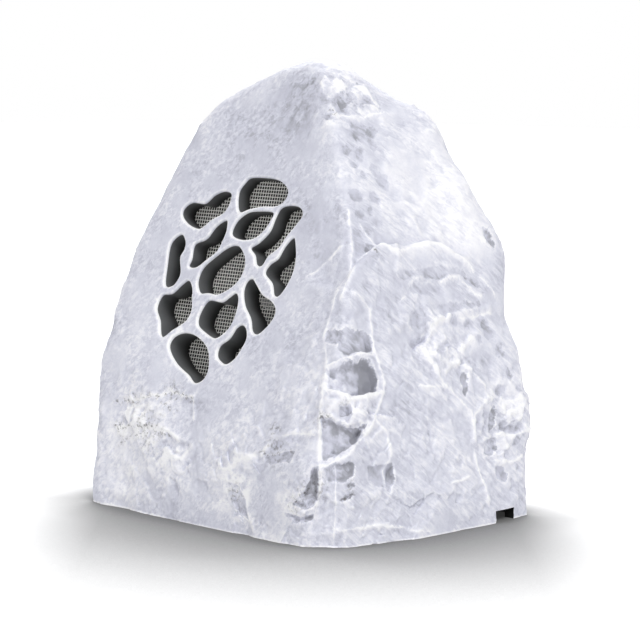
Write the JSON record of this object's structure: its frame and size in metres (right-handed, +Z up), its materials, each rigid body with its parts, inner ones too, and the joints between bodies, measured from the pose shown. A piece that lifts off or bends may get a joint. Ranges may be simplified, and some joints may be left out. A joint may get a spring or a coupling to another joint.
{
  "type": "outdoor boulder loudspeaker",
  "caption": "Garden loudspeaker cast as a pale boulder, with cell openings over a wire mesh, a coaxial driver, a network amplifier and a cable gland in its recessed base.",
  "frame": {"origin": "on the ground, under the middle of the rock's overall box", "axes": "+Z up, the face with the cell openings looks towards -Y, and the cable notch is on the +X side at the back"},
  "size_m": [0.32, 0.254, 0.4],
  "materials": {
    "rock": "pale grey cast stone look, mottled",
    "mesh_steel": "fine wire mesh",
    "black_board": "matt black",
    "screw_steel": "stainless",
    "foam": "closed-cell foam",
    "basket_paint": "black",
    "roll_rubber": "butyl rubber",
    "cone_polymer": "dark grey",
    "coil_foil": "foil",
    "coil_wire": "enamelled copper wire",
    "spider_cloth": "resin-treated cloth",
    "pole_steel": "zinc plated",
    "ferrite": "dark grey ferrite",
    "tweeter_plastic": "black",
    "dome_cloth": "coated silk",
    "base_plastic": "dark grey",
    "board_laminate": "green laminate",
    "shield_can": "tinned",
    "sink_metal": "anodised",
    "can_sleeve": "dark blue sleeve",
    "transformer_tape": "yellow tape and ferrite",
    "choke_ferrite": "coated ring cores",
    "terminal_plastic": "green",
    "tag_laminate": "brown laminate",
    "lead_jacket": "black",
    "gland_plastic": "black polyamide",
    "gland_rubber": "black"
  },
  "bodies": {
    "cabinet": {"rock_shell": "rock", "mesh_grille": "mesh_steel", "baffle_plate": "black_board", "baffle_screws": "screw_steel", "driver_screws": "screw_steel", "base_screws": "screw_steel", "board_screws": "screw_steel", "driver_gasket": "foam", "base_seal": "foam", "driver_basket": "basket_paint", "cone_surround": "roll_rubber", "spider": "spider_cloth", "front_pole_plate": "pole_steel", "yoke": "pole_steel", "magnet_ring": "ferrite", "tweeter_post": "tweeter_plastic", "tweeter_cup": "tweeter_plastic", "tweeter_bezel": "tweeter_plastic", "tweeter_dome": "dome_cloth", "base_plate": "base_plastic", "amplifier_board": "board_laminate", "network_jack": "shield_can", "network_module": "shield_can", "heat_sink": "sink_metal", "filter_capacitors": "can_sleeve", "isolating_transformer": "transformer_tape", "output_chokes": "choke_ferrite", "lead_terminal": "terminal_plastic", "tag_strip": "tag_laminate", "speaker_lead": "lead_jacket", "gland_body": "gland_plastic", "gland_nut": "gland_plastic", "gland_locknut": "gland_plastic", "gland_seal": "gland_rubber"},
    "cone_assembly": {"driver_cone": "cone_polymer", "coil_former": "coil_foil", "coil_winding": "coil_wire"}
  },
  "joints": [
    {"name": "cone_travel", "type": "slide", "parent": "cabinet", "child": "cone_assembly", "axis": [0, -0.9659, 0.2588], "range_m": [-0.004, 0.004], "stiffness_N_per_m": 1400, "deforming": ["cone_surround", "spider"]}
  ]
}
